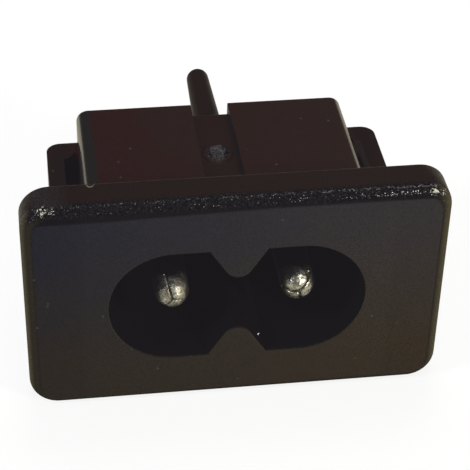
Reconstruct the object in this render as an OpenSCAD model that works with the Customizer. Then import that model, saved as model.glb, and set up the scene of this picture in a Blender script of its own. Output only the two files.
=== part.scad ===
// Figure eight power inlet: a snap-in chassis socket with two round contact pins.
// X runs across the socket, Y runs from the front to the rear, Z is up.
// The origin lies midway between the pins, on the flange's rear face that seats on the panel.

/* [Flange] */
// Width of the flange
flange_w = 28.4; // [27:0.1:30]
// Height of the flange
flange_h = 16.7; // [15.5:0.1:18]
// Thickness of the flange
flange_t = 2.7; // [2:0.1:3.5]
// Radius of the flange's four corners
flange_corner_r = 2; // [1.2:0.1:2.5]
// Radius of the rounded front edge
flange_rim_r = 0.9; // [0.5:0.05:1.1]
// Height of the flange's centre above the line of the pins
flange_lift = 0.2; // [0:0.05:0.5]

/* [Body] */
// Width of the body behind the flange
body_w = 19.4; // [19:0.1:20]
// Height of the body behind the flange
body_h = 10.5; // [10.1:0.1:11.5]
// Depth of the body behind the flange
body_depth = 14; // [13.4:0.1:16]
// Radius of the body's lengthwise edges
body_corner_r = 0.85; // [0.6:0.05:1.2]
// Radius of the body's rear edge
body_rim_r = 0.25; // [0.15:0.05:0.4]

/* [Socket] */
// Distance between the pins
pin_pitch = 8.6; // [8.4:0.05:8.8]
// Radius of the socket's two round ends
lobe_r = 4.4; // [4.2:0.05:4.5]
// Depth of the socket from the front face
socket_depth = 12; // [11:0.1:12.4]
// Clear height of the waist between the two keying ribs
waist_h = 4.3; // [4.1:0.05:5]
// Radius of a keying rib's nose
rib_nose_r = 0.95; // [0.7:0.05:1.1]
// Width of a keying rib where it leaves the wall
rib_root_w = 3.9; // [3.4:0.1:4.4]

/* [Grooves] */
// Width of the lengthwise groove in the top and in the bottom
groove_w = 2.7; // [2.2:0.1:3.2]
// Depth of the groove
groove_d = 1.05; // [0.6:0.05:1.2]
// Diameter of the moulding gate's mark on the top groove's floor
gate_d = 1.8; // [1.2:0.1:2.2]
// Distance from the flange to the centre of the gate's mark
gate_y = 8.8; // [4:0.1:11]

/* [Peg] */
// Diameter of the rear peg at its root
peg_root_d = 2.08; // [1.6:0.02:2.2]
// Diameter of the rear peg at its round end
peg_tip_d = 1.68; // [1.2:0.02:1.7]
// Length of the rear peg
peg_l = 7.7; // [4:0.1:9]
// Height of the peg's axis above the line of the pins
peg_rise = 3; // [2.4:0.05:3]

/* [Latches] */
// Width over the two latch arms
latch_span = 24; // [23.4:0.1:24.4]
// Thickness of a latch arm
arm_t = 1.2; // [0.9:0.05:1.4]
// Height of a latch arm
arm_h = 6.8; // [5:0.1:8]
// Distance from the body's rear face to the latch's rear face
latch_inset = 1.45; // [1:0.05:2]
// Thickness of the bridge that joins an arm to the body
bridge_t = 1.25; // [0.9:0.05:1.6]
// Distance from the flange to the catch, the panel's thickness and play
panel_gap = 1.6; // [1.2:0.1:2]
// Height of the catch above the arm
catch_out = 0.9; // [0.5:0.05:1.1]

/* [Contacts] */
// Diameter of a contact pin
pin_d = 2.36; // [2.3:0.01:2.4]
// Distance from the front face back to the pin's tip
pin_setback = 0.65; // [0.5:0.05:2]
// Thickness of the contact's sheet
sheet_t = 0.38; // [0.3:0.01:0.42]
// Width of the lengthwise seam of the rolled pin
seam_w = 0.1; // [0.06:0.01:0.14]
// Width of the solder tab
tab_w = 2.6; // [2.2:0.1:2.8]
// Length of the solder tab behind the body
tab_l = 5.6; // [4:0.1:6.2]
// Diameter of the wire hole in the solder tab
tab_hole_d = 1.3; // [1:0.1:1.5]

/* [Hidden] */

// Cuts run past the faces that they leave by this much
overrun = 0.5;
arc_fn = 96;
small_fn = 48;
hull_fn = 32;

// Housing: the floor behind the socket and the cored back
floor_t = 1.6;
back_wall_t = 1.05;
back_web_w = 2.8;
back_corner_r = 0.6;
boss_w = 5.2;
boss_h = 4.4;
boss_corner_r = 0.5;
boss_inset = 0.5;
ejector_d = 1.6;
ejector_mark_depth = 0.12;
ejector_x = 11.6;
ejector_z = 6.1;
gate_ring_h = 0.12;
gate_nub_d = 0.8;
gate_nub_h = 0.28;
peg_fillet_r = 0.15;
peg_embed = 0.6;

// Latch: its outer corner, slot, ramp and nose
latch_corner_r = 1;
slot_fillet_r = 0.5;
ramp_l = 5;
catch_land = 0.25;
nose_l = 0.8;
nose_back = 0.15;
nose_taper = 0.2;

// Contact: the nose of the pin, its flared seat, the shoulder and the tab
pin_nose_r = 1.1;
seat_d = 2.86;
seat_clearance = 0.02;
fold_gap = 0.06;
neck_l = 1.2;
neck_start_d = 2.6;
neck_end_w = 2.2;
shoulder_w = 3.6;
shoulder_l = 1.2;
slot_clearance = 0.06;
tab_end_chamfer = 0.55;
tab_hole_inset = 1.7;
seam_angle_left = 17;
seam_angle_right = 46;

front_y = -flange_t;
socket_floor_y = front_y + socket_depth;
back_floor_y = socket_floor_y + floor_t;
groove_floor_z = body_h / 2 - groove_d;
pin_x = pin_pitch / 2;
pin_r = pin_d / 2;
seat_r = seat_d / 2;
tip_y = front_y + pin_setback;
tab_t = 2 * sheet_t + fold_gap;
tab_end_y = body_depth + tab_l;
shoulder_y = back_floor_y;

// A shape drawn in X and Z and extruded along Y from one place to another
module along_y(from_y, to_y) {
    translate([0, to_y, 0])
        rotate([90, 0, 0])
            linear_extrude(to_y - from_y)
                children();
}

module rounded_rect(w, h, corner_r) {
    square([w - 2 * corner_r, h], center = true);
    square([w, h - 2 * corner_r], center = true);
    for (side_x = [-1, 1], side_y = [-1, 1])
        translate([side_x * (w / 2 - corner_r), side_y * (h / 2 - corner_r)])
            circle(corner_r, $fn = arc_fn);
}

// A rounded slab from 0 up to its depth, with a rounded rim round its upper face
module rimmed_slab(w, h, depth, corner_r, rim_r) {
    linear_extrude(depth - rim_r)
        rounded_rect(w, h, corner_r);
    linear_extrude(depth)
        rounded_rect(w - 2 * rim_r, h - 2 * rim_r, corner_r - rim_r);
    for (side = [-1, 1]) {
        translate([side * (w / 2 - rim_r), 0, depth - rim_r])
            rotate([90, 0, 0])
                cylinder(h = h - 2 * corner_r, r = rim_r, center = true, $fn = arc_fn);
        translate([0, side * (h / 2 - rim_r), depth - rim_r])
            rotate([0, 90, 0])
                cylinder(h = w - 2 * corner_r, r = rim_r, center = true, $fn = arc_fn);
    }
    for (side_x = [-1, 1], side_y = [-1, 1])
        translate([side_x * (w / 2 - corner_r), side_y * (h / 2 - corner_r), depth - rim_r])
            rotate_extrude($fn = arc_fn)
                translate([corner_r - rim_r, 0])
                    circle(rim_r, $fn = arc_fn);
}

module flange() {
    translate([0, 0, flange_lift])
        rotate([90, 0, 0])
            rimmed_slab(flange_w, flange_h, flange_t, flange_corner_r, flange_rim_r);
}

module body() {
    translate([0, front_y + flange_rim_r, 0])
        rotate([-90, 0, 0])
            rimmed_slab(body_w, body_h, body_depth - front_y - flange_rim_r, body_corner_r, body_rim_r);
}

// The keying rib: straight flanks that run tangent into a round nose
module rib_outline() {
    nose_z = waist_h / 2 + rib_nose_r;
    root_x = rib_root_w / 2;
    reach = norm([root_x, lobe_r - nose_z]);
    turn = atan2(lobe_r - nose_z, root_x) - acos(rib_nose_r / reach);
    tangent_x = rib_nose_r * cos(turn);
    tangent_z = nose_z + rib_nose_r * sin(turn);
    translate([0, nose_z])
        circle(rib_nose_r, $fn = arc_fn);
    polygon([
        [-tangent_x, tangent_z],
        [tangent_x, tangent_z],
        [root_x, lobe_r],
        [root_x, lobe_r + overrun],
        [-root_x, lobe_r + overrun],
        [-root_x, lobe_r]
    ]);
}

module socket_outline() {
    difference() {
        union() {
            square([pin_pitch, 2 * lobe_r], center = true);
            for (side = [-1, 1])
                translate([side * pin_x, 0])
                    circle(lobe_r, $fn = arc_fn);
        }
        rib_outline();
        mirror([0, 1])
            rib_outline();
    }
}

module socket() {
    along_y(front_y - overrun, socket_floor_y)
        socket_outline();
}

module grooves() {
    for (side = [-1, 1])
        along_y(0, body_depth + overrun)
            translate([0, side * (groove_floor_z + groove_d / 2 + overrun / 2)])
                square([groove_w, groove_d + overrun], center = true);
}

// What the mould's gate leaves: a low disc with a short torn nub
module gate_mark() {
    translate([0, gate_y, groove_floor_z]) {
        cylinder(h = gate_ring_h, d = gate_d, $fn = small_fn);
        cylinder(h = gate_nub_h, d = gate_nub_d, $fn = small_fn);
    }
}

module peg() {
    taper_l = peg_l - peg_tip_d / 2;
    translate([0, body_depth, peg_rise])
        rotate([-90, 0, 0]) {
            translate([0, 0, -peg_embed])
                cylinder(h = peg_embed, d = peg_root_d, $fn = arc_fn);
            cylinder(h = taper_l, d1 = peg_root_d, d2 = peg_tip_d, $fn = arc_fn);
            translate([0, 0, taper_l])
                sphere(d = peg_tip_d, $fn = arc_fn);
            rotate_extrude($fn = arc_fn)
                difference() {
                    square([peg_root_d / 2 + peg_fillet_r, peg_fillet_r]);
                    translate([peg_root_d / 2 + peg_fillet_r, peg_fillet_r])
                        circle(peg_fillet_r, $fn = small_fn);
                }
        }
}

// What rounds a corner at the closed end of a latch's slot
module slot_fillet() {
    difference() {
        square(slot_fillet_r);
        circle(slot_fillet_r, $fn = small_fn);
    }
}

// The right-hand latch seen from above: bridge, spring arm, ramp, catch and nose
module latch_outline() {
    outer_x = latch_span / 2;
    inner_x = outer_x - arm_t;
    rear_y = body_depth - latch_inset;
    bridge_y = rear_y - bridge_t;
    root_x = body_w / 2 - body_corner_r;
    polygon([
        [root_x, rear_y],
        [outer_x - latch_corner_r, rear_y],
        [outer_x, rear_y - latch_corner_r],
        [outer_x, panel_gap + ramp_l],
        [outer_x + catch_out, panel_gap + catch_land],
        [outer_x + catch_out, panel_gap],
        [outer_x - nose_back, panel_gap],
        [outer_x - nose_back - nose_taper, panel_gap - nose_l],
        [inner_x, panel_gap - nose_l],
        [inner_x, bridge_y],
        [root_x, bridge_y]
    ]);
    translate([outer_x - latch_corner_r, rear_y - latch_corner_r])
        circle(latch_corner_r, $fn = arc_fn);
    translate([inner_x - slot_fillet_r, bridge_y - slot_fillet_r])
        slot_fillet();
    translate([body_w / 2 + slot_fillet_r, bridge_y - slot_fillet_r])
        mirror([1, 0])
            slot_fillet();
}

module latch() {
    translate([0, 0, -arm_h / 2])
        linear_extrude(arm_h)
            latch_outline();
}

// The two cored pockets in the back, each round the boss that holds a contact
module back_pockets() {
    pocket_w = body_w / 2 - back_wall_t - back_web_w / 2;
    pocket_x = back_web_w / 2 + pocket_w / 2;
    for (side = [-1, 1])
        difference() {
            along_y(back_floor_y, body_depth + overrun)
                translate([side * pocket_x, 0])
                    rounded_rect(pocket_w, body_h - 2 * back_wall_t, back_corner_r);
            along_y(back_floor_y, body_depth - boss_inset)
                translate([side * pin_x, 0])
                    rounded_rect(boss_w, boss_h, boss_corner_r);
        }
}

// The way through the floor and the boss for one contact: a round hole with a slot across it
module contact_way() {
    along_y(socket_floor_y - overrun, body_depth + overrun)
        circle(seat_r + seat_clearance, $fn = arc_fn);
    along_y(shoulder_y, body_depth + overrun)
        square([shoulder_w + 2 * slot_clearance, tab_t + 2 * slot_clearance], center = true);
}

// Shallow round marks of the mould's ejector pins on the flange's rear face
module ejector_marks() {
    for (side_x = [-1, 1], side_z = [-1, 1])
        along_y(-ejector_mark_depth, overrun)
            translate([side_x * ejector_x, side_z * ejector_z + flange_lift])
                circle(d = ejector_d, $fn = small_fn);
}

module housing() {
    color("#2a2527") {
        difference() {
            union() {
                flange();
                body();
                peg();
                latch();
                mirror([1, 0, 0])
                    latch();
            }
            socket();
            grooves();
            back_pockets();
            ejector_marks();
            for (side = [-1, 1])
                translate([side * pin_x, 0, 0])
                    contact_way();
        }
        gate_mark();
    }
}

// Profile of the rolled pin's wall, turned about the pin's axis, with its closed round nose
module pin_wall_profile() {
    flat_r = pin_r - pin_nose_r;
    nose_y = socket_floor_y - tip_y - pin_nose_r;
    difference() {
        union() {
            square([pin_r, nose_y]);
            square([flat_r, nose_y + pin_nose_r]);
            intersection() {
                translate([flat_r, nose_y])
                    circle(pin_nose_r, $fn = arc_fn);
                square([pin_r, nose_y + pin_nose_r]);
            }
        }
        square([pin_r - sheet_t, nose_y]);
        square([flat_r, nose_y + pin_nose_r - sheet_t]);
        intersection() {
            translate([flat_r, nose_y])
                circle(pin_nose_r - sheet_t, $fn = arc_fn);
            square([pin_r, nose_y + pin_nose_r]);
        }
    }
}

// The rolled pin, open along its seam, its end closed by three petals that meet in a Y,
// with the seat behind it flared wider so that it locks in the housing's floor
module rolled_pin(turned) {
    difference() {
        union() {
            translate([0, socket_floor_y, 0])
                rotate([90, 0, 0])
                    rotate_extrude($fn = arc_fn)
                        pin_wall_profile();
            along_y(socket_floor_y, socket_floor_y + sheet_t)
                difference() {
                    circle(seat_r, $fn = arc_fn);
                    circle(pin_r - sheet_t, $fn = arc_fn);
                }
            along_y(socket_floor_y, shoulder_y)
                difference() {
                    circle(seat_r, $fn = arc_fn);
                    circle(seat_r - sheet_t, $fn = arc_fn);
                }
        }
        rotate([0, turned, 0])
            translate([-seam_w / 2, tip_y - overrun, 0])
                cube([seam_w, shoulder_y - tip_y + 2 * overrun, seat_d]);
        for (turn = [120, 240])
            rotate([0, turned + turn, 0])
                translate([-seam_w / 2, tip_y - overrun, 0])
                    cube([seam_w, pin_nose_r + overrun, seat_d]);
    }
}

// Outline of the shoulder and the solder tab seen from above
module tab_outline() {
    polygon([
        [-shoulder_w / 2, shoulder_y],
        [shoulder_w / 2, shoulder_y],
        [shoulder_w / 2, shoulder_y + shoulder_l],
        [tab_w / 2, shoulder_y + shoulder_l],
        [tab_w / 2, tab_end_y - tab_end_chamfer],
        [tab_w / 2 - tab_end_chamfer, tab_end_y],
        [-tab_w / 2 + tab_end_chamfer, tab_end_y],
        [-tab_w / 2, tab_end_y - tab_end_chamfer],
        [-tab_w / 2, shoulder_y + shoulder_l],
        [-shoulder_w / 2, shoulder_y + shoulder_l]
    ]);
}

// Section of the tab along its length: one sheet folded back on itself at the tab's end
module fold_section() {
    bend_y = tab_end_y - tab_t / 2;
    difference() {
        union() {
            translate([shoulder_y, -tab_t / 2])
                square([bend_y - shoulder_y, tab_t]);
            translate([bend_y, 0])
                circle(d = tab_t, $fn = small_fn);
        }
        translate([shoulder_y + neck_l, -fold_gap / 2])
            square([bend_y - shoulder_y - neck_l, fold_gap]);
    }
}

module solder_tab() {
    difference() {
        intersection() {
            translate([0, 0, -tab_t / 2])
                linear_extrude(tab_t)
                    tab_outline();
            translate([-shoulder_w / 2, 0, 0])
                rotate([90, 0, 90])
                    linear_extrude(shoulder_w)
                        fold_section();
        }
        translate([0, tab_end_y - tab_hole_inset, -tab_t / 2 - overrun])
            cylinder(h = tab_t + 2 * overrun, d = tab_hole_d, $fn = small_fn);
    }
}

// The neck, where the rolled sheet is pressed flat into the tab
module neck() {
    hull() {
        along_y(shoulder_y - seam_w, shoulder_y)
            circle(d = neck_start_d, $fn = hull_fn);
        along_y(shoulder_y + neck_l - seam_w, shoulder_y + neck_l)
            square([neck_end_w, tab_t], center = true);
    }
}

module contact(turned) {
    rolled_pin(turned);
    neck();
    solder_tab();
}

// The right-hand contact, its seam turned outwards from the top of the pin
module contact_right() {
    color("#c9c4b4")
        translate([pin_x, 0, 0])
            contact(seam_angle_right);
}

// The left-hand contact, its seam turned outwards the other way
module contact_left() {
    color("#c9c4b4")
        mirror([1, 0, 0])
            translate([pin_x, 0, 0])
                contact(seam_angle_left);
}

housing();
contact_left();
contact_right();
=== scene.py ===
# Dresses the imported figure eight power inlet: fine moulded plastic, plated pins, soft studio light.
# Lengths are in metres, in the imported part's own frame: X across, Y to the rear, Z up.
import math

import bmesh
import bpy
from mathutils import Matrix, Vector, noise as noise_field


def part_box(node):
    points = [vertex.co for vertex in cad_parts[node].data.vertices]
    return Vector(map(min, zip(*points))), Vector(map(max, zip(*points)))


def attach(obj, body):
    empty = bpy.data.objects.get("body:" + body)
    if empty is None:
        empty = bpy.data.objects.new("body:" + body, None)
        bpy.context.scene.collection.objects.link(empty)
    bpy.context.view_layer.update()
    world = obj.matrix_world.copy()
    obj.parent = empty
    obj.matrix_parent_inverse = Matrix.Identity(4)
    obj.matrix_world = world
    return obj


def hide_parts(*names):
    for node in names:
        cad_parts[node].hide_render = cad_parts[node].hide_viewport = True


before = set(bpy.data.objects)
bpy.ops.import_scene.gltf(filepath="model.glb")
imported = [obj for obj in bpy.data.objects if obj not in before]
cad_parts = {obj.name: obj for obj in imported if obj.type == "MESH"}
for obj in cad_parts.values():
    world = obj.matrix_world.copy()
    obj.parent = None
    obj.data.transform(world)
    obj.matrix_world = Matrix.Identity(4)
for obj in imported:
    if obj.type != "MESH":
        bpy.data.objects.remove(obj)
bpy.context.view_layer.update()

MM = 0.001
IMAGE_SIZE = 470

# The camera that took the photograph
CAMERA_AT = (-13.33 * MM, -87.54 * MM, 70.50 * MM)
CAMERA_AZIMUTH = 8.70
CAMERA_ELEVATION = 37.05
CAMERA_ROLL = -1.58
CAMERA_FOCAL_PIXELS = 1656.2
SENSOR_WIDTH = 36.0


def make_camera():
    azimuth = math.radians(CAMERA_AZIMUTH)
    elevation = math.radians(CAMERA_ELEVATION)
    forward = Vector((
        math.sin(azimuth) * math.cos(elevation),
        math.cos(azimuth) * math.cos(elevation),
        -math.sin(elevation),
    ))
    level_right = forward.cross(Vector((0, 0, 1))).normalized()
    level_down = forward.cross(level_right)
    roll = math.radians(CAMERA_ROLL)
    right = math.cos(roll) * level_right + math.sin(roll) * level_down
    up = -forward.cross(right)
    turn = Matrix((right, up, -forward)).transposed().to_4x4()
    data = bpy.data.cameras.new("camera")
    data.sensor_width = SENSOR_WIDTH
    data.lens = CAMERA_FOCAL_PIXELS / IMAGE_SIZE * SENSOR_WIDTH
    data.clip_start = 1 * MM
    camera = bpy.data.objects.new("camera", data)
    camera.matrix_world = Matrix.Translation(CAMERA_AT) @ turn
    bpy.context.scene.collection.objects.link(camera)
    bpy.context.scene.camera = camera


# Short ways to build node trees
def new_tree(owner):
    owner.use_nodes = True
    tree = owner.node_tree
    tree.nodes.clear()
    return tree


def add(tree, kind, **settings):
    node = tree.nodes.new(kind)
    for name, value in settings.items():
        setattr(node, name, value)
    return node


def link(tree, source, target):
    tree.links.new(source, target)


def math_node(tree, operation, first, second=None):
    node = add(tree, "ShaderNodeMath", operation=operation)
    for place, value in enumerate((first, second)):
        if value is None:
            continue
        if isinstance(value, (int, float)):
            node.inputs[place].default_value = value
        else:
            link(tree, value, node.inputs[place])
    return node.outputs[0]


def noise(tree, place, scale, detail=3.0, roughness=0.55):
    node = add(tree, "ShaderNodeTexNoise")
    node.inputs["Scale"].default_value = scale
    node.inputs["Detail"].default_value = detail
    node.inputs["Roughness"].default_value = roughness
    link(tree, place, node.inputs["Vector"])
    return node.outputs["Fac"]


def spread(tree, value, low, high, to_low, to_high):
    node = add(tree, "ShaderNodeMapRange")
    node.inputs["From Min"].default_value = low
    node.inputs["From Max"].default_value = high
    node.inputs["To Min"].default_value = to_low
    node.inputs["To Max"].default_value = to_high
    link(tree, value, node.inputs["Value"])
    return node.outputs["Result"]


def between_colours(tree, factor, first, second):
    node = add(tree, "ShaderNodeMix", data_type="RGBA")
    node.inputs["A"].default_value = (*first, 1)
    node.inputs["B"].default_value = (*second, 1)
    link(tree, factor, node.inputs["Factor"])
    return node.outputs["Result"]


# World and floor: white to the camera. Reflections see a cream table up to the horizon and a dim room above
WORLD_LIGHT = 0.40
CREAM = (1, 0.94, 0.72)
CREAM_STRENGTH = 0.6
ROOM_SHARE = 0.06
FLOOR_REFLECTANCE = 0.8
FLOOR_HALF = 400 * MM


def make_world():
    world = bpy.data.worlds.new("studio")
    bpy.context.scene.world = world
    tree = new_tree(world)
    path = add(tree, "ShaderNodeLightPath")
    way = add(tree, "ShaderNodeTexCoord").outputs["Generated"]
    height = add(tree, "ShaderNodeSeparateXYZ")
    link(tree, way, height.inputs[0])
    mirrored = add(tree, "ShaderNodeBackground")
    link(tree, spread(tree, height.outputs["Z"], -0.05, 0.12, 1, ROOM_SHARE), mirrored.inputs["Strength"])
    plain = add(tree, "ShaderNodeBackground")
    seen = math_node(tree, "ADD", path.outputs["Is Camera Ray"], path.outputs["Is Transmission Ray"])
    link(tree, spread(tree, seen, 0, 1, WORLD_LIGHT, 1), plain.inputs["Strength"])
    plain.inputs["Color"].default_value = (1, 1, 1, 1)
    mirrored.inputs["Color"].default_value = (*CREAM, 1)
    mix = add(tree, "ShaderNodeMixShader")
    link(tree, path.outputs["Is Glossy Ray"], mix.inputs[0])
    link(tree, plain.outputs[0], mix.inputs[1])
    link(tree, mirrored.outputs[0], mix.inputs[2])
    output = add(tree, "ShaderNodeOutputWorld")
    link(tree, mix.outputs[0], output.inputs["Surface"])


def make_floor():
    mesh = bpy.data.meshes.new("floor")
    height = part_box("housing")[0].z
    corners = [(-1, -1), (1, -1), (1, 1), (-1, 1)]
    points = [(x * FLOOR_HALF, y * FLOOR_HALF, height) for x, y in corners]
    mesh.from_pydata(points, [], [(0, 1, 2, 3)])
    floor = bpy.data.objects.new("floor", mesh)
    bpy.context.scene.collection.objects.link(floor)
    material = bpy.data.materials.new("floor")
    mesh.materials.append(material)
    tree = new_tree(material)
    lit = add(tree, "ShaderNodeBsdfDiffuse")
    lit.inputs["Color"].default_value = (FLOOR_REFLECTANCE,) * 3 + (1,)
    white = add(tree, "ShaderNodeEmission")
    path = add(tree, "ShaderNodeLightPath")
    mix = add(tree, "ShaderNodeMixShader")
    share = math_node(tree, "MULTIPLY", path.outputs["Is Camera Ray"], 0.85)
    link(tree, share, mix.inputs[0])
    link(tree, lit.outputs[0], mix.inputs[1])
    link(tree, white.outputs[0], mix.inputs[2])
    cream = add(tree, "ShaderNodeEmission")
    cream.inputs["Color"].default_value = (*CREAM, 1)
    cream.inputs["Strength"].default_value = CREAM_STRENGTH
    mirrored = add(tree, "ShaderNodeMixShader")
    link(tree, path.outputs["Is Glossy Ray"], mirrored.inputs[0])
    link(tree, mix.outputs[0], mirrored.inputs[1])
    link(tree, cream.outputs[0], mirrored.inputs[2])
    output = add(tree, "ShaderNodeOutputMaterial")
    link(tree, mirrored.outputs[0], output.inputs["Surface"])


def make_lamp(name, place, aim, size, power, colour=(1, 1, 1)):
    data = bpy.data.lights.new(name, "AREA")
    data.shape = "DISK"
    data.size = size
    data.energy = power
    data.color = colour
    lamp = bpy.data.objects.new(name, data)
    way = Vector(aim) - Vector(place)
    lamp.rotation_euler = way.to_track_quat("-Z", "Y").to_euler()
    lamp.location = place
    bpy.context.scene.collection.objects.link(lamp)


def make_lights():
    middle = (0, 5 * MM, 0)
    make_lamp("left_box", (-260 * MM, -90 * MM, 220 * MM), middle, 70 * MM, 0.6, (0.90, 0.95, 1))
    make_lamp("front_lamp", (205 * MM, -215 * MM, 150 * MM), middle, 55 * MM, 0.75, (1, 0.93, 0.82))
    make_lamp("top_box", (20 * MM, 120 * MM, 300 * MM), middle, 150 * MM, 0.5, (1, 0.98, 0.96))


make_camera()
make_world()
make_floor()
make_lights()
bpy.context.scene.view_settings.view_transform = "Standard"


# Moulded black plastic: a satin face, a glossier body behind, and a spark-eroded grain on the flange's edge
# Painted light on the face: cool light in the upper left, warm light in the lower right, mixed from four corner
# colours
PAINTED_COOL_LIGHT_UPPER_LEFT = (0.0080, 0.0092, 0.0155)
PAINTED_LIGHT_UPPER_RIGHT = (0.0222, 0.0200, 0.0196)
PAINTED_WARM_LIGHT_LOWER_LEFT = (0.0152, 0.0118, 0.0072)
PAINTED_WARM_LIGHT_LOWER_RIGHT = (0.0245, 0.0172, 0.0076)
BODY_LEFT = (0.0150, 0.0030, 0.0025)
BODY_RIGHT = (0.0130, 0.0078, 0.0052)
FLANGE_TOP_LEFT = (0.0085, 0.0036, 0.0025)
FLANGE_TOP_RIGHT = (0.0100, 0.0060, 0.0035)
ARM = (0.0095, 0.0050, 0.0035)
GROOVE_WALL_SHADE = (0.0012, 0.0020, 0.0035)
LEFT_EDGE_SHADE = (0.0078, 0.0068, 0.0060)
BODY_MIDDLE = (0.0125, 0.0062, 0.0040)
INNER_ARM_PAINTED_GLOW = (0.0215, 0.0165, 0.0160)
HOOK_HIGHLIGHT = (0.11, 0.098, 0.066)
CORNER_SHEEN = (0.0150, 0.0142, 0.0148)
RIM_SHADE = (0.0013, 0.0012, 0.0014)
RIM_SHADE_SPECKLE = (0.0084, 0.0081, 0.0085)
CREST_HIGHLIGHT = (0.0760, 0.0735, 0.0730)
LEFT_SIDE_SHEEN = (0.0760, 0.0670, 0.0370)
RIGHT_SIDE_SHEEN = (0.0580, 0.0510, 0.0260)
SHADED_LEFT_FACING = (0.0170, 0.0138, 0.0066)
LIT_RIGHT_FACING = (0.0240, 0.0190, 0.0105)
PAINTED_GLINT_DIM = (0.020, 0.020, 0.021)
PAINTED_GLINT_BRIGHT = (0.75, 0.73, 0.66)
GLARE = (0.42, 0.41, 0.34)
GLARE_LEFT_AT = (-12.72 * MM, -2.30 * MM, 8.31 * MM)
GLARE_RIGHT_AT = (12.80 * MM, -2.50 * MM, 8.09 * MM)
REAR_EDGE_HIGHLIGHT = (0.0190, 0.0125, 0.0085)
DUST = (0.0360, 0.0340, 0.0330)
HOLLOW_SHADE = (0.0020, 0.0018, 0.0020)
# a faint painted glow on the moulding, the contacts and the gate scar, so that no shade falls to a full black
PAINTED_GLOW = (0.0096, 0.0086, 0.0102)
FINE_GRAIN_SCALE = 9000
COARSE_GRAIN_SCALE = 7500
GLINT_SCALE = 10000
DUST_SCALE = 1100
FINE_GRAIN_DEPTH = 0.014 * MM
COARSE_GRAIN_DEPTH = 0.050 * MM
EDGE_GLOSS = 3.5


def mixed(tree, factor, first, second):
    """Mixes two colours, each a plain value or another node's output."""
    node = add(tree, "ShaderNodeMix", data_type="RGBA")
    for name, value in (("A", first), ("B", second)):
        if isinstance(value, tuple):
            node.inputs[name].default_value = (*value, 1)
        else:
            link(tree, value, node.inputs[name])
    link(tree, factor, node.inputs["Factor"])
    return node.outputs["Result"]


def mixed_value(tree, factor, first, second):
    node = add(tree, "ShaderNodeMix", data_type="FLOAT")
    for name, value in (("A", first), ("B", second)):
        if isinstance(value, (int, float)):
            node.inputs[name].default_value = value
        else:
            link(tree, value, node.inputs[name])
    link(tree, factor, node.inputs["Factor"])
    return node.outputs["Result"]


def times(tree, *values):
    result = values[0]
    for value in values[1:]:
        result = math_node(tree, "MULTIPLY", result, value)
    return result


def from_point(tree, place, point):
    node = add(tree, "ShaderNodeVectorMath", operation="DISTANCE")
    link(tree, place, node.inputs[0])
    node.inputs[1].default_value = point
    return node.outputs["Value"]


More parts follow.
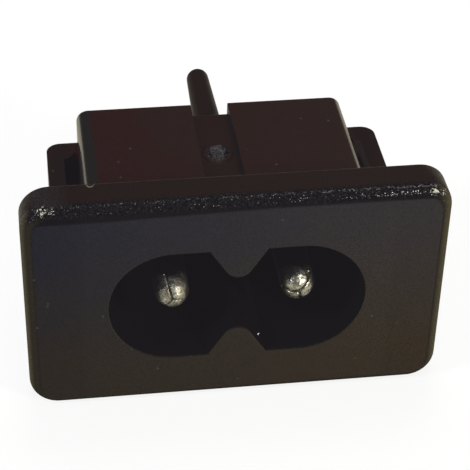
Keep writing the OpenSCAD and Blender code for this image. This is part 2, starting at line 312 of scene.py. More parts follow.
def plastic_material():
    material = bpy.data.materials.new("black_plastic")
    tree = new_tree(material)
    place = add(tree, "ShaderNodeTexCoord").outputs["Object"]
    spot = add(tree, "ShaderNodeSeparateXYZ")
    link(tree, place, spot.inputs[0])
    facing = add(tree, "ShaderNodeSeparateXYZ")
    link(tree, add(tree, "ShaderNodeNewGeometry").outputs["Normal"], facing.inputs[0])
    shader = add(tree, "ShaderNodeBsdfPrincipled")
    # where on the moulding: across, down, behind the flange, in the socket
    cloud = spread(tree, noise(tree, place, 160, 4), 0.3, 0.7, -0.08, 0.08)
    across = math_node(tree, "ADD", spread(tree, spot.outputs["X"], -14 * MM, 14 * MM, 0, 1), cloud)
    down = math_node(tree, "ADD", spread(tree, spot.outputs["Z"], 6 * MM, -5 * MM, 0, 1), cloud)
    behind = spread(tree, spot.outputs["Y"], -2.35 * MM, -2.05 * MM, 0, 1)
    wide = math_node(tree, "ABSOLUTE", spot.outputs["X"])
    high = math_node(tree, "ABSOLUTE", spot.outputs["Z"])
    roof = spread(tree, wide, 1.40 * MM, 1.60 * MM, 4.12 * MM, 4.46 * MM)
    hollow = times(
        tree,
        spread(tree, wide, 8.90 * MM, 8.92 * MM, 1, 0),
        math_node(tree, "LESS_THAN", high, roof),
        spread(tree, spot.outputs["Y"], 9.35 * MM, 9.37 * MM, 1, 0),
        spread(tree, spot.outputs["Y"], -2.68 * MM, -2.60 * MM, 0, 1),
    )
    # painted light: the face's colour goes from cool at the upper left to warm at the lower right
    upper_light = mixed(tree, across, PAINTED_COOL_LIGHT_UPPER_LEFT, PAINTED_LIGHT_UPPER_RIGHT)
    lower_light = mixed(tree, across, PAINTED_WARM_LIGHT_LOWER_LEFT, PAINTED_WARM_LIGHT_LOWER_RIGHT)
    lit_front_colour = mixed(tree, down, upper_light, lower_light)
    body_colour = mixed(tree, across, BODY_LEFT, BODY_RIGHT)
    middle = times(
        tree,
        spread(tree, math_node(tree, "ADD", across, cloud), 0.36, 0.43, 0, 0.8),
        spread(tree, spot.outputs["X"], -1.35 * MM, -1.25 * MM, 1, 0.35),
        spread(tree, spot.outputs["X"], 1.0 * MM, 1.3 * MM, 1, 0),
    )
    body_colour = mixed(tree, middle, body_colour, BODY_MIDDLE)
    outlying = math_node(
        tree,
        "MAXIMUM",
        spread(tree, wide, 10.0 * MM, 10.7 * MM, 0, 1),
        spread(tree, spot.outputs["Y"], 14.0 * MM, 14.2 * MM, 0, 1),
    )
    body_colour = mixed(tree, outlying, body_colour, ARM)
    # painted shade on the groove's right wall
    groove_wall_shade = times(
        tree,
        spread(tree, wide, 1.30 * MM, 1.34 * MM, 0, 1),
        spread(tree, wide, 1.36 * MM, 1.40 * MM, 1, 0),
        spread(tree, high, 4.21 * MM, 4.25 * MM, 0, 1),
        spread(tree, spot.outputs["Y"], 0.1 * MM, 0.2 * MM, 0, 1),
    )
    body_colour = mixed(tree, groove_wall_shade, body_colour, GROOVE_WALL_SHADE)
    # painted shade on the lower part of the body's rounded left edge
    left_edge_shade = times(
        tree,
        spread(tree, spot.outputs["X"], -8.55 * MM, -8.85 * MM, 0, 1),
        spread(tree, spot.outputs["X"], -9.72 * MM, -9.80 * MM, 1, 0),
        spread(tree, spot.outputs["Y"], 0.05 * MM, 0.15 * MM, 0, 1),
        spread(tree, spot.outputs["Z"], 3.6 * MM, 4.2 * MM, 0, 1),
    )
    body_colour = mixed(tree, left_edge_shade, body_colour, LEFT_EDGE_SHADE)
    # painted light: the right latch arm's inner side lies in shade and glows to look lit
    inner_arm_glow = times(
        tree,
        spread(tree, spot.outputs["X"], 10.2 * MM, 10.4 * MM, 0, 1),
        spread(tree, spot.outputs["X"], 10.84 * MM, 10.90 * MM, 1, 0),
        spread(tree, spot.outputs["Y"], 0.05 * MM, 0.15 * MM, 0, 1),
        spread(tree, facing.outputs["Z"], 0.3, 0.6, 1, 0),
        spread(tree, spot.outputs["Z"], 1.9 * MM, 2.5 * MM, 0, 1),
    )
    flange_top = mixed(tree, across, FLANGE_TOP_LEFT, FLANGE_TOP_RIGHT)
    front = spread(tree, spot.outputs["Y"], -0.02 * MM, 0.02 * MM, 1, 0)
    body_colour = mixed(tree, front, body_colour, flange_top)
    outside = mixed(tree, behind, lit_front_colour, body_colour)
    # the grained edge: on the flange, where the surface turns away from the front, painted with a dark shade
    # speckled by the grain
    turned = times(
        tree,
        spread(tree, facing.outputs["Y"], -0.998, -0.975, 0, 1),
        spread(tree, facing.outputs["Y"], -0.35, -0.10, 1, 0.05),
    )
    edge = times(tree, turned, front, math_node(tree, "SUBTRACT", 1, hollow))
    rise = facing.outputs["Z"]
    speckle = noise(tree, place, COARSE_GRAIN_SCALE, 2, 0.6)
    rim = mixed(tree, spread(tree, speckle, 0.42, 0.66, 0, 1), RIM_SHADE, RIM_SHADE_SPECKLE)
    # painted light and shade on the edge's sides: shaded where it faces left, lit where it faces right
    side_light_and_shade = mixed(tree, spread(tree, facing.outputs["X"], -0.3, 0.3, 0, 1), SHADED_LEFT_FACING, LIT_RIGHT_FACING)
    aslant = math_node(tree, "ABSOLUTE", facing.outputs["X"])
    off_top = math_node(
        tree,
        "MAXIMUM",
        times(tree, spread(tree, aslant, 0.10, 0.35, 0, 1), spread(tree, rise, 0.50, 0.20, 0, 1)),
        spread(tree, rise, -0.02, -0.15, 0, 1),
    )
    rim = mixed(tree, off_top, rim, side_light_and_shade)
    # painted sheen where the edge faces right
    rim = mixed(tree, spread(tree, facing.outputs["X"], 0.30, 0.85, 0, 1), rim, RIGHT_SIDE_SHEEN)
    # painted shade: on the left the edge's dark painted shade runs a little way down the face
    low_line = spread(tree, spot.outputs["X"], 2 * MM, -9 * MM, 7.66 * MM, 7.38 * MM)
    over_line = math_node(tree, "SUBTRACT", spot.outputs["Z"], low_line)
    shade = times(
        tree,
        spread(tree, spot.outputs["Y"], -2.66 * MM, -2.60 * MM, 1, 0),
        spread(tree, over_line, -0.10 * MM, 0.08 * MM, 0, 0.9),
        math_node(tree, "SUBTRACT", 1, hollow),
    )
    outside = mixed(tree, shade, outside, RIM_SHADE)
    outside = mixed(tree, edge, outside, rim)
    # painted sheen on the flange's left side
    left_side_sheen = times(
        tree,
        front,
        spread(tree, facing.outputs["X"], -0.62, -0.98, 0, 1),
        spread(tree, spot.outputs["Y"], -1.78 * MM, -1.55 * MM, 1, 0),
        spread(tree, speckle, 0.35, 0.60, 0.75, 1),
    )
    outside = mixed(tree, left_side_sheen, outside, LEFT_SIDE_SHEEN)
    # painted sheen: a lighter grey over the flange's upper left corner
    corner_sheen = times(
        tree,
        front,
        spread(tree, spot.outputs["X"], -10.8 * MM, -12.4 * MM, 0, 1),
        spread(tree, rise, 0.80, 0.90, 0, 1),
        spread(tree, speckle, 0.44, 0.60, 0.25, 1),
    )
    outside = mixed(tree, corner_sheen, outside, CORNER_SHEEN)
    # painted highlight: a broken light line along the crest of the flange's top edge
    crest_highlight = times(
        tree,
        edge,
        spread(tree, rise, 0.79, 0.835, 0, 1),
        spread(tree, rise, 0.885, 0.915, 1, 0),
        spread(tree, spot.outputs["X"], -4 * MM, 4 * MM, 0.5, 1),
        spread(tree, speckle, 0.50, 0.58, 0, 1),
        spread(tree, noise(tree, place, 2200, 2), 0.44, 0.56, 0.1, 1),
    )
    outside = mixed(tree, crest_highlight, outside, CREST_HIGHLIGHT)
    # painted glints on the grain: few and faint along the middle, many and bright at the upper corners
    glint_corner = times(
        tree,
        front,
        spread(tree, wide, 12.3 * MM, 13.1 * MM, 0, 1),
        spread(tree, spot.outputs["Z"], 6.2 * MM, 6.9 * MM, 0, 1),
        spread(tree, facing.outputs["Y"], -0.998, -0.975, 0, 1),
    )
    glint_cells = add(tree, "ShaderNodeTexVoronoi")
    glint_cells.inputs["Scale"].default_value = GLINT_SCALE
    link(tree, place, glint_cells.inputs["Vector"])
    glint_pick = add(tree, "ShaderNodeSeparateXYZ")
    link(tree, glint_cells.outputs["Color"], glint_pick.inputs[0])
    glint_zone = math_node(
        tree,
        "MAXIMUM",
        times(
            tree,
            spread(tree, spot.outputs["X"], 2.5 * MM, 10.0 * MM, 0, 1),
            spread(tree, spot.outputs["X"], 13.4 * MM, 13.8 * MM, 1, 0),
            spread(tree, rise, 0.34, 0.46, 0, 1),
            spread(tree, rise, 0.62, 0.74, 1, 0),
        ),
        times(
            tree,
            spread(tree, spot.outputs["X"], -11.6 * MM, -12.0 * MM, 0, 1),
            spread(tree, spot.outputs["X"], -12.9 * MM, -13.4 * MM, 1, 0),
            spread(tree, rise, 0.40, 0.52, 0, 1),
            spread(tree, rise, 0.80, 0.90, 1, 0),
        ),
    )
    painted_glints = times(
        tree,
        math_node(tree, "MAXIMUM", edge, glint_corner),
        spread(tree, glint_cells.outputs["Distance"], 0.24, 0.42, 1, 0),
        math_node(tree, "MAXIMUM", spread(tree, noise(tree, place, 1300, 2), 0.42, 0.58, 0.45, 1), glint_zone),
        math_node(tree, "LESS_THAN", glint_pick.outputs["X"], spread(tree, glint_zone, 0, 1, 0.36, 0.85)),
        spread(tree, rise, 0.10, 0.50, 0.15, 1),
        spread(tree, rise, 0.88, 0.94, 1, 0.15),
    )
    glint_brightness = times(
        tree,
        math_node(tree, "POWER", glint_pick.outputs["Y"], spread(tree, glint_zone, 0, 1, 4, 1.6)),
        math_node(tree, "MAXIMUM", spread(tree, spot.outputs["X"], -7 * MM, 9 * MM, 0.2, 0.5), glint_zone),
    )
    outside = mixed(tree, painted_glints, outside, mixed(tree, glint_brightness, PAINTED_GLINT_DIM, PAINTED_GLINT_BRIGHT))
    ragged = spread(tree, speckle, 0.3, 0.7, 0.34 * MM, -0.34 * MM)
    glare_left = math_node(tree, "ADD", from_point(tree, place, GLARE_LEFT_AT), ragged)
    glare_right = math_node(tree, "ADD", from_point(tree, place, GLARE_RIGHT_AT), ragged)
    glare = math_node(tree, "MINIMUM", glare_left, glare_right)
    glare = times(tree, front, spread(tree, glare, 0.03 * MM, 0.13 * MM, 1, 0))
    outside = mixed(tree, glare, outside, GLARE)
    # a faint painted highlight along the flange's rear edge, and sparse dust
    rear_edge_highlight = times(
        tree,
        spread(tree, spot.outputs["Y"], -0.13 * MM, -0.09 * MM, 0, 1),
        spread(tree, spot.outputs["Y"], 0.01 * MM, 0.03 * MM, 1, 0),
        spread(tree, facing.outputs["Y"], 0.55, 0.85, 1, 0),
        spread(tree, noise(tree, place, 1400, 3, 0.6), 0.35, 0.60, 0, 1),
    )
    outside = mixed(tree, rear_edge_highlight, outside, REAR_EDGE_HIGHLIGHT)
    # a small hook-shaped painted highlight on the flange where the body's left edge meets it
    from_hook = spread(tree, spot.outputs["X"], -9.85 * MM, -9.15 * MM, -1, 1)
    bowed = spread(tree, math_node(tree, "MULTIPLY", from_hook, from_hook), 0, 1, -0.34 * MM, 0.02 * MM)
    off_line = math_node(tree, "ABSOLUTE", math_node(tree, "SUBTRACT", spot.outputs["Y"], bowed))
    hook_highlight = times(
        tree,
        spread(tree, off_line, 0.04 * MM, 0.10 * MM, 1, 0),
        spread(tree, math_node(tree, "ABSOLUTE", from_hook), 0.88, 0.99, 1, 0),
        spread(tree, from_hook, -0.75, -0.60, 0, 1),
        spread(tree, from_hook, -0.2, 0.9, 1, 0.25),
        spread(tree, spot.outputs["Z"], 8.3 * MM, 8.4 * MM, 0, 1),
    )
    outside = mixed(tree, hook_highlight, outside, HOOK_HIGHLIGHT)
    cells = add(tree, "ShaderNodeTexVoronoi")
    cells.inputs["Scale"].default_value = DUST_SCALE
    link(tree, place, cells.inputs["Vector"])
    chosen = add(tree, "ShaderNodeSeparateXYZ")
    link(tree, cells.outputs["Color"], chosen.inputs[0])
    dust = times(
        tree,
        spread(tree, cells.outputs["Distance"], 0.07, 0.11, 1, 0),
        math_node(tree, "LESS_THAN", chosen.outputs["X"], 0.22),
    )
    outside = mixed(tree, dust, outside, DUST)
    fine = noise(tree, place, FINE_GRAIN_SCALE, 2, 0.6)
    grainy = add(tree, "ShaderNodeVectorMath", operation="SCALE")
    # painted shade: the socket's inside is near black
    link(tree, mixed(tree, hollow, outside, HOLLOW_SHADE), grainy.inputs[0])
    link(tree, spread(tree, fine, 0.3, 0.7, 0.78, 1.22), grainy.inputs["Scale"])
    link(tree, grainy.outputs[0], shader.inputs["Base Color"])
    coarse = noise(tree, place, COARSE_GRAIN_SCALE, 2, 0.5)
    face_rough = spread(tree, fine, 0.3, 0.7, 0.40, 0.50)
    body_rough = spread(tree, fine, 0.3, 0.7, 0.16, 0.24)
    edge_rough = spread(tree, coarse, 0.3, 0.7, 0.20, 0.34)
    rough = mixed_value(tree, behind, face_rough, body_rough)
    rough = mixed_value(tree, hollow, rough, 0.6)
    rough = mixed_value(tree, edge, rough, edge_rough)
    link(tree, rough, shader.inputs["Roughness"])
    shader.inputs["Specular IOR Level"].default_value = 0.04
    # the body's lengthwise edges are glossier and catch the table's light
    glossy_edge = times(
        tree,
        spread(tree, wide, 8.7 * MM, 8.9 * MM, 0, 1),
        spread(tree, wide, 9.72 * MM, 9.8 * MM, 1, 0),
        spread(tree, spot.outputs["Y"], 0.05 * MM, 0.15 * MM, 0, 1),
        math_node(
            tree,
            "MAXIMUM",
            times(
                tree,
                spread(tree, facing.outputs["X"], 0.50, 0.72, 0, 1),
                spread(tree, rise, 0.05, 0.15, 0, 1),
            ),
            times(
                tree,
                spread(tree, facing.outputs["X"], -0.72, -0.86, 0, 1),
                spread(tree, spot.outputs["Z"], 2.9 * MM, 4.2 * MM, 0.15, 1),
            ),
        ),
    )
    gloss = spread(tree, glossy_edge, 0, 1, 0.04, EDGE_GLOSS)
    gloss = times(tree, gloss, spread(tree, outlying, 0, 1, 1, 0.3))
    matt = times(
        tree,
        front,
        spread(tree, facing.outputs["Y"], -0.998, -0.975, 0, 1),
        spread(tree, facing.outputs["Y"], -0.10, -0.03, 1, 0),
    )
    gloss = times(tree, gloss, spread(tree, matt, 0, 1, 1, 0))
    link(tree, gloss, shader.inputs["Specular IOR Level"])
    # painted glow: the moulding glows faintly everywhere, and more on the right arm's inner side
    shader.inputs["Emission Color"].default_value = (*PAINTED_GLOW, 1)
    link(tree, mixed(tree, inner_arm_glow, PAINTED_GLOW, INNER_ARM_PAINTED_GLOW), shader.inputs["Emission Color"])
    shader.inputs["Emission Strength"].default_value = 1
    fine_bump = add(tree, "ShaderNodeBump")
    fine_bump.inputs["Distance"].default_value = FINE_GRAIN_DEPTH
    link(tree, fine, fine_bump.inputs["Height"])
    coarse_bump = add(tree, "ShaderNodeBump")
    coarse_bump.inputs["Distance"].default_value = COARSE_GRAIN_DEPTH
    link(tree, edge, coarse_bump.inputs["Strength"])
    link(tree, coarse, coarse_bump.inputs["Height"])
    link(tree, fine_bump.outputs["Normal"], coarse_bump.inputs["Normal"])
    link(tree, coarse_bump.outputs["Normal"], shader.inputs["Normal"])
    output = add(tree, "ShaderNodeOutputMaterial")
    link(tree, shader.outputs[0], output.inputs["Surface"])
    return material


PIN_X = 4.3 * MM

# Bright plating over rolled sheet, dulled to olive in patches, with painted shade on the shafts and at the pins'
# sides
METAL_BRIGHT = (0.93, 0.94, 0.90)
METAL_DULL = (0.25, 0.24, 0.18)
METAL_SHADE = (0.030, 0.028, 0.022)
METAL_SIDE_SHADE = (0.085, 0.078, 0.052)
SHADE_BACK_SHARE = 0.6
SHADE_UP_SHARE = 0.8


def contact_material():
    material = bpy.data.materials.new("plated_contact")
    tree = new_tree(material)
    place = add(tree, "ShaderNodeTexCoord").outputs["Object"]
    shader = add(tree, "ShaderNodeBsdfPrincipled")
    shader.inputs["Metallic"].default_value = 1
    stain = spread(tree, noise(tree, place, 1500, 4, 0.6), 0.38, 0.62, 0, 1)
    spot = add(tree, "ShaderNodeSeparateXYZ")
    link(tree, place, spot.inputs[0])
    # painted shade: the pins are dark along the shaft and towards the top, bright at the nose; the tabs are bright
    # again
    patchy = spread(tree, noise(tree, place, 1900, 3), 0.3, 0.7, -0.16 * MM, 0.16 * MM)
    back = math_node(tree, "MULTIPLY", spot.outputs["Y"], SHADE_BACK_SHARE)
    upwards = math_node(tree, "MULTIPLY", spot.outputs["Z"], SHADE_UP_SHARE)
    toward_shade = math_node(tree, "ADD", math_node(tree, "ADD", back, upwards), patchy)
    # painted shade: olive shade on the pins' sides, where they turn away
    aside = math_node(tree, "SUBTRACT", math_node(tree, "ABSOLUTE", spot.outputs["X"]), PIN_X)
    side_shade = spread(tree, math_node(tree, "ABSOLUTE", aside), 0.78 * MM, 1.02 * MM, 0, 0.9)
    shaft_shade = times(
        tree,
        spread(tree, toward_shade, 0.30 * MM, 0.62 * MM, 0, 1),
        spread(tree, spot.outputs["Y"], 9.0 * MM, 10.0 * MM, 1, 0),
    )
    plated = mixed(tree, stain, METAL_DULL, METAL_BRIGHT)
    mottle = spread(tree, noise(tree, place, 6000, 2), 0.44, 0.58, 0, 0.9)
    plated = mixed(tree, mottle, plated, METAL_DULL)
    side_shade = times(tree, side_shade, spread(tree, spot.outputs["Y"], 9.0 * MM, 9.3 * MM, 1, 0))
    plated = mixed(tree, side_shade, plated, METAL_SIDE_SHADE)
    link(tree, mixed(tree, shaft_shade, plated, METAL_SHADE), shader.inputs["Base Color"])
    # painted glow: the metal glows faintly, so that its shade never falls to a full black
    shader.inputs["Emission Color"].default_value = (*PAINTED_GLOW, 1)
    shader.inputs["Emission Strength"].default_value = 1
    grain = noise(tree, place, 5500, 3)
    chalky = spread(tree, spot.outputs["X"], -0.1 * MM, 0.1 * MM, 0.12, 0)
    link(tree, math_node(tree, "ADD", spread(tree, grain, 0.3, 0.7, 0.29, 0.45), chalky), shader.inputs["Roughness"])
    bump = add(tree, "ShaderNodeBump")
    bump.inputs["Distance"].default_value = 0.022 * MM
    link(tree, grain, bump.inputs["Height"])
    link(tree, bump.outputs["Normal"], shader.inputs["Normal"])
    output = add(tree, "ShaderNodeOutputMaterial")
    link(tree, shader.outputs[0], output.inputs["Surface"])
    return material


# The rolled pins: straight tube, then a round nose of three petals pressed together along a Y
PIN_R = 1.18 * MM
NOSE_R = 1.1 * MM
FLOOR_Y = 9.3 * MM
SKIN_START_Y = 9.5 * MM
COLLAR = 0.01 * MM
# Where the seam stands, clockwise from the top seen from the front, and the slits between the petals from it
SEAM_AT = {-1: -17.0, 1: 46.0}
SLITS_FROM_SEAM = {-1: (0.0, 127.0, 232.0), 1: (0.0, 124.0, 219.0)}
AROUND = 240
STRAIGHT_RINGS = 40
NOSE_RINGS = 44
CAP_RINGS = 3
SEAM_HALF = 0.055 * MM
SEAM_DEPTH = 0.30 * MM
HOLE_R = 0.15 * MM
HOLE_DEPTH = 0.35 * MM
PETAL_SETBACKS = {-1: (0.0, 0.12 * MM, 0.06 * MM), 1: (0.10 * MM, 0.0, 0.05 * MM)}
PETAL_FLATTEN = 0.09 * MM
CRUMPLE = 0.035 * MM
DENT_SCALE = 1 / (0.50 * MM)
FINE_DENT_SCALE = 1 / (0.17 * MM)


def pin_stations(tip_y):
    """Rings from inside the housing's floor to the tip: radius, place, normal's tilt, share of the nose."""
    nose_y = tip_y + NOSE_R
    flat_r = PIN_R - NOSE_R
    for ring in range(STRAIGHT_RINGS):
        share = ring / STRAIGHT_RINGS
        yield PIN_R, SKIN_START_Y + (nose_y - SKIN_START_Y) * share, 0.0, 0.0
    for ring in range(NOSE_RINGS + 1):
        tilt = math.pi / 2 * ring / NOSE_RINGS
        yield flat_r + NOSE_R * math.cos(tilt), nose_y - NOSE_R * math.sin(tilt), tilt, ring / NOSE_RINGS
    for ring in range(1, CAP_RINGS):
        yield flat_r * (1 - ring / CAP_RINGS), tip_y, math.pi / 2, 1.0


def smooth(value):
    value = min(max(value, 0.0), 1.0)
    return value * value * (3 - 2 * value)


def round_the_ring(first, second):
    apart = abs(first - second) % 360
    return min(apart, 360 - apart)


def pin_point(side, radius, y, tilt, nose_share, turn):
    """A point of the pin's skin. turn is the angle from the lengthwise seam, in degrees."""
    angle = math.radians(90 - SEAM_AT[side] - turn)
    outwards = Vector((math.cos(angle) * math.cos(tilt), -math.sin(tilt), math.sin(angle) * math.cos(tilt)))
    point = Vector((side * PIN_X + radius * math.cos(angle), y, radius * math.sin(angle)))
    slits = SLITS_FROM_SEAM[side]
    petal = sum(1 for slit in slits if turn >= slit) - 1
    following = (*slits, 360.0)[petal + 1]
    petal_span = following - slits[petal]
    from_slit = min(turn - slits[petal], following - turn)
    reach = math.radians(from_slit) * radius
    seam_reach = math.radians(round_the_ring(turn, 0.0)) * radius
    in_nose = smooth(nose_share * 4)
    slit = in_nose * math.exp(-((reach / SEAM_HALF) ** 2))
    seam = math.exp(-((seam_reach / SEAM_HALF) ** 2))
    hole = in_nose * math.exp(-((radius / HOLE_R) ** 2))
    depth = max(SEAM_DEPTH * max(slit, seam), HOLE_DEPTH * hole)
    across = 1 - from_slit / (petal_span / 2)
    depth += in_nose * PETAL_FLATTEN * across * across
    depth += in_nose * smooth(nose_share) * PETAL_SETBACKS[side][petal]
    dents = noise_field.noise(point * DENT_SCALE + Vector((petal * 7.3, side * 3.1, 0)))
    dents += 0.35 * noise_field.noise(point * FINE_DENT_SCALE)
    depth += CRUMPLE * (0.10 + 0.90 * in_nose) * (0.6 + dents)
    return point - outwards * max(depth, 0.0)


def pin_skin(mesh, side, tip_y):
    rings = []
    for radius, y, tilt, nose_share in pin_stations(tip_y):
        ring = []
        for step in range(AROUND):
            turn = 360.0 * step / AROUND
            ring.append(mesh.verts.new(pin_point(side, radius, y, tilt, nose_share, turn)))
        rings.append(ring)
    for ring, following in zip(rings, rings[1:]):
        for step in range(AROUND):
            onward = (step + 1) % AROUND
            mesh.faces.new((ring[step], ring[onward], following[onward], following[step]))
    for ring in (rings[0], rings[-1]):
        close_ring(mesh, ring)


def close_ring(mesh, ring):
    hub = mesh.verts.new(sum((vert.co for vert in ring), Vector()) / len(ring))
    for vert, following in zip(ring, ring[1:] + ring[:1]):
        mesh.faces.new((vert, following, hub))


def make_contact(node, side, material):
    """The contact with its detailed pin. From the socket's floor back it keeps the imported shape."""
    mesh = bmesh.new()
    mesh.from_mesh(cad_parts[node].data)
    bmesh.ops.remove_doubles(mesh, verts=mesh.verts[:], dist=0.0005 * MM)
    geometry = mesh.verts[:] + mesh.edges[:] + mesh.faces[:]
    cut = (0, FLOOR_Y - COLLAR, 0)
    halves = bmesh.ops.bisect_plane(mesh, geom=geometry, plane_co=cut, plane_no=(0, -1, 0), clear_outer=True)
    rim = [item for item in halves["geom_cut"] if isinstance(item, bmesh.types.BMEdge)]
    bmesh.ops.holes_fill(mesh, edges=rim)
    bmesh.ops.recalc_face_normals(mesh, faces=mesh.faces[:])
    for face in mesh.faces:
        face.smooth = False
    kept = set(mesh.faces)
    tip_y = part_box(node)[0].y
    pin_skin(mesh, side, tip_y)
    for face in mesh.faces:
        if face not in kept:
            face.smooth = True
    fresh = [face for face in mesh.faces if face not in kept]
    bmesh.ops.recalc_face_normals(mesh, faces=fresh)
    data = bpy.data.meshes.new(node + "_dressed")
    mesh.to_mesh(data)
    mesh.free()
    data.materials.clear()
    data.materials.append(material)
    for polygon in data.polygons:
        polygon.material_index = 0
    piece = bpy.data.objects.new(node + "_dressed", data)
    bpy.context.scene.collection.objects.link(piece)
    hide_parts(node)
    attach(piece, "root")


# The torn scar of the moulding gate on the groove's floor, small pale nicks at the socket's lip, and pale specks on
# the pins that are painted glints
SCAR_AT = (0, 8.8 * MM, 4.2 * MM)
SCAR_R = 1.20 * MM
SCAR_SKIRT_SHARE = 0.78
SCAR_LENGTH_SHARE = 1.05
SCAR_EDGE_H = 0.125 * MM
SCAR_CORE_H = 0.30 * MM
SCAR_RIDGE_H = 0.24 * MM
SCAR_RIDGE_AT = 0.42
SCAR_RIDGE_W = 0.16
SCAR_ROUGH_H = 0.26 * MM
SCAR_LUMP = 1 / (0.24 * MM)
SCAR_SINK = 0.02 * MM
SCAR_RINGS = 26
SCAR_AROUND = 96
NICK_AND_GLINT_SIZE = 0.055 * MM
NICKS_AND_GLINTS = (
    (-6.01 * MM, -2.625 * MM, -4.17 * MM, 1.1),
    (1.46 * MM, -2.63 * MM, -2.93 * MM, 1.0),
    (1.78 * MM, -2.63 * MM, -4.38 * MM, 1.0),
    # the last two are pale specks on the pins: painted glints
    (4.99 * MM, -1.01 * MM, 0.95 * MM, 1.2),
    (-4.78 * MM, -0.56 * MM, 1.08 * MM, 0.9),
)


SCAR_DARK = (0.006, 0.006, 0.008)
SCAR_LIGHT = (0.036, 0.035, 0.041)
GROOVE_FLOOR = (0.0150, 0.0068, 0.0048)


def scar_material():
    material = bpy.data.materials.new("gate_scar")
    tree = new_tree(material)
    place = add(tree, "ShaderNodeTexCoord").outputs["Object"]
    shader = add(tree, "ShaderNodeBsdfPrincipled")
    torn = noise(tree, place, 3000, 3, 0.65)
    stretched = spread(tree, torn, 0.44, 0.66, 0, 1)
    apart = add(tree, "ShaderNodeVectorMath", operation="DISTANCE")
    link(tree, place, apart.inputs[0])
    apart.inputs[1].default_value = SCAR_AT
    ragged = spread(tree, torn, 0.3, 0.7, -0.12 * MM, 0.12 * MM)
    outer = spread(tree, math_node(tree, "ADD", apart.outputs["Value"], ragged), 0.66 * MM, 0.88 * MM, 0, 1)
    colour = mixed(tree, stretched, SCAR_DARK, SCAR_LIGHT)
    link(tree, mixed(tree, outer, colour, GROOVE_FLOOR), shader.inputs["Base Color"])
    link(tree, spread(tree, torn, 0.3, 0.7, 0.34, 0.48), shader.inputs["Roughness"])
    link(tree, spread(tree, outer, 0, 1, 0.30, 0.04), shader.inputs["Specular IOR Level"])
    # painted glow, as on the moulding
    shader.inputs["Emission Color"].default_value = (*PAINTED_GLOW, 1)
    shader.inputs["Emission Strength"].default_value = 1
    bump = add(tree, "ShaderNodeBump")
    bump.inputs["Distance"].default_value = 0.05 * MM
    link(tree, torn, bump.inputs["Height"])
    link(tree, bump.outputs["Normal"], shader.inputs["Normal"])
    output = add(tree, "ShaderNodeOutputMaterial")
    link(tree, shader.outputs[0], output.inputs["Surface"])
    return material


def scar_height(share, across, along):
    ridge = math.exp(-(((share - SCAR_RIDGE_AT) / SCAR_RIDGE_W) ** 2))
    lumps = noise_field.noise(Vector((across, along, 0)) * SCAR_LUMP)
    lumps += 0.5 * noise_field.noise(Vector((across, along, 1 * MM)) * SCAR_LUMP * 2.3)
    skirt = smooth((1 - share) / (1 - SCAR_SKIRT_SHARE))
    fade = smooth((SCAR_SKIRT_SHARE - share) * 4)
    core = SCAR_CORE_H * smooth((0.44 - share) * 10)
    rough = fade * max(SCAR_RIDGE_H * ridge + SCAR_ROUGH_H * lumps, 0.0)
    return max(SCAR_EDGE_H * skirt + rough, core) - SCAR_SINK * (1 - skirt)


def make_scar():
    mesh = bmesh.new()
    left, along, floor = SCAR_AT
    rings = []
    for ring in range(SCAR_RINGS + 1):
        share = ring / SCAR_RINGS
        verts = []
        for step in range(SCAR_AROUND):
            angle = 2 * math.pi * step / SCAR_AROUND
            wobble = 1 + 0.06 * noise_field.noise(Vector((math.cos(angle) * 1.7, math.sin(angle) * 1.7, 4.0)))
            across = SCAR_R * share * wobble * math.cos(angle)
            forth = SCAR_R * SCAR_LENGTH_SHARE * share * wobble * math.sin(angle)
            height = scar_height(share, across, forth)
            verts.append(mesh.verts.new((left + across, along + forth, floor + height)))
        rings.append(verts)
    for ring, following in zip(rings, rings[1:]):
        for step in range(SCAR_AROUND):
            onward = (step + 1) % SCAR_AROUND
            mesh.faces.new((ring[step], following[step], following[onward], ring[onward]))
    close_ring(mesh, rings[-1])
    bmesh.ops.remove_doubles(mesh, verts=mesh.verts[:], dist=0.0005 * MM)
    bmesh.ops.recalc_face_normals(mesh, faces=mesh.faces[:])
    for face in mesh.faces:
        face.smooth = True
    add_piece("gate_scar", mesh, scar_material())


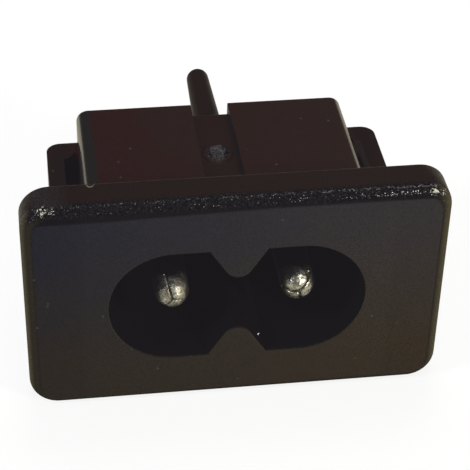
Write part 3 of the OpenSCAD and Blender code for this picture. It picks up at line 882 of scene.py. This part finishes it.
def make_nicks_and_glints():
    material = bpy.data.materials.new("nicks_and_glints")
    tree = new_tree(material)
    place = add(tree, "ShaderNodeTexCoord").outputs["Object"]
    shader = add(tree, "ShaderNodeBsdfPrincipled")
    chalky = spread(tree, noise(tree, place, 9000, 2), 0.3, 0.7, 0, 1)
    link(tree, mixed(tree, chalky, (0.30, 0.29, 0.27), (0.75, 0.74, 0.71)), shader.inputs["Base Color"])
    shader.inputs["Roughness"].default_value = 0.6
    output = add(tree, "ShaderNodeOutputMaterial")
    link(tree, shader.outputs[0], output.inputs["Surface"])
    mesh = bmesh.new()
    for number, (left, along, height, share) in enumerate(NICKS_AND_GLINTS):
        made = bmesh.ops.create_icosphere(mesh, subdivisions=2, radius=NICK_AND_GLINT_SIZE * share)
        for vert in made["verts"]:
            lump = noise_field.noise(vert.co * 0.9 / NICK_AND_GLINT_SIZE + Vector((number * 5.0, 0, 0)))
            vert.co = vert.co * (1 + 0.6 * lump) + Vector((left, along, height))
    add_piece("nicks_and_glints", mesh, material)


def add_piece(name, mesh, material):
    data = bpy.data.meshes.new(name)
    mesh.to_mesh(data)
    mesh.free()
    data.materials.append(material)
    piece = bpy.data.objects.new(name, data)
    bpy.context.scene.collection.objects.link(piece)
    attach(piece, "root")


# Small rounded edges on the moulding, as the mould leaves them
EDGE_ROUND = 0.05 * MM


def round_edges(obj, width, segments):
    weld = obj.modifiers.new("weld", "WELD")
    weld.merge_threshold = 0.005 * MM
    dissolve = obj.modifiers.new("flatten", "DECIMATE")
    dissolve.decimate_type = "DISSOLVE"
    dissolve.angle_limit = math.radians(0.3)
    bevel = obj.modifiers.new("edges", "BEVEL")
    bevel.width = width
    bevel.segments = segments
    bevel.limit_method = "ANGLE"
    bevel.angle_limit = math.radians(32)
    bevel.harden_normals = False
    bevel.use_clamp_overlap = False
    slivers = obj.modifiers.new("slivers", "WELD")
    slivers.merge_threshold = 0.002 * MM
    normals = obj.modifiers.new("normals", "WEIGHTED_NORMAL")
    normals.keep_sharp = True


def dress(node, material):
    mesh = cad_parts[node].data
    mesh.materials.clear()
    mesh.materials.append(material)


plastic = plastic_material()
metal = contact_material()
dress("housing", plastic)
make_contact("contact_left", -1, metal)
make_contact("contact_right", 1, metal)
round_edges(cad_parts["housing"], EDGE_ROUND, 2)
make_scar()
make_nicks_and_glints()
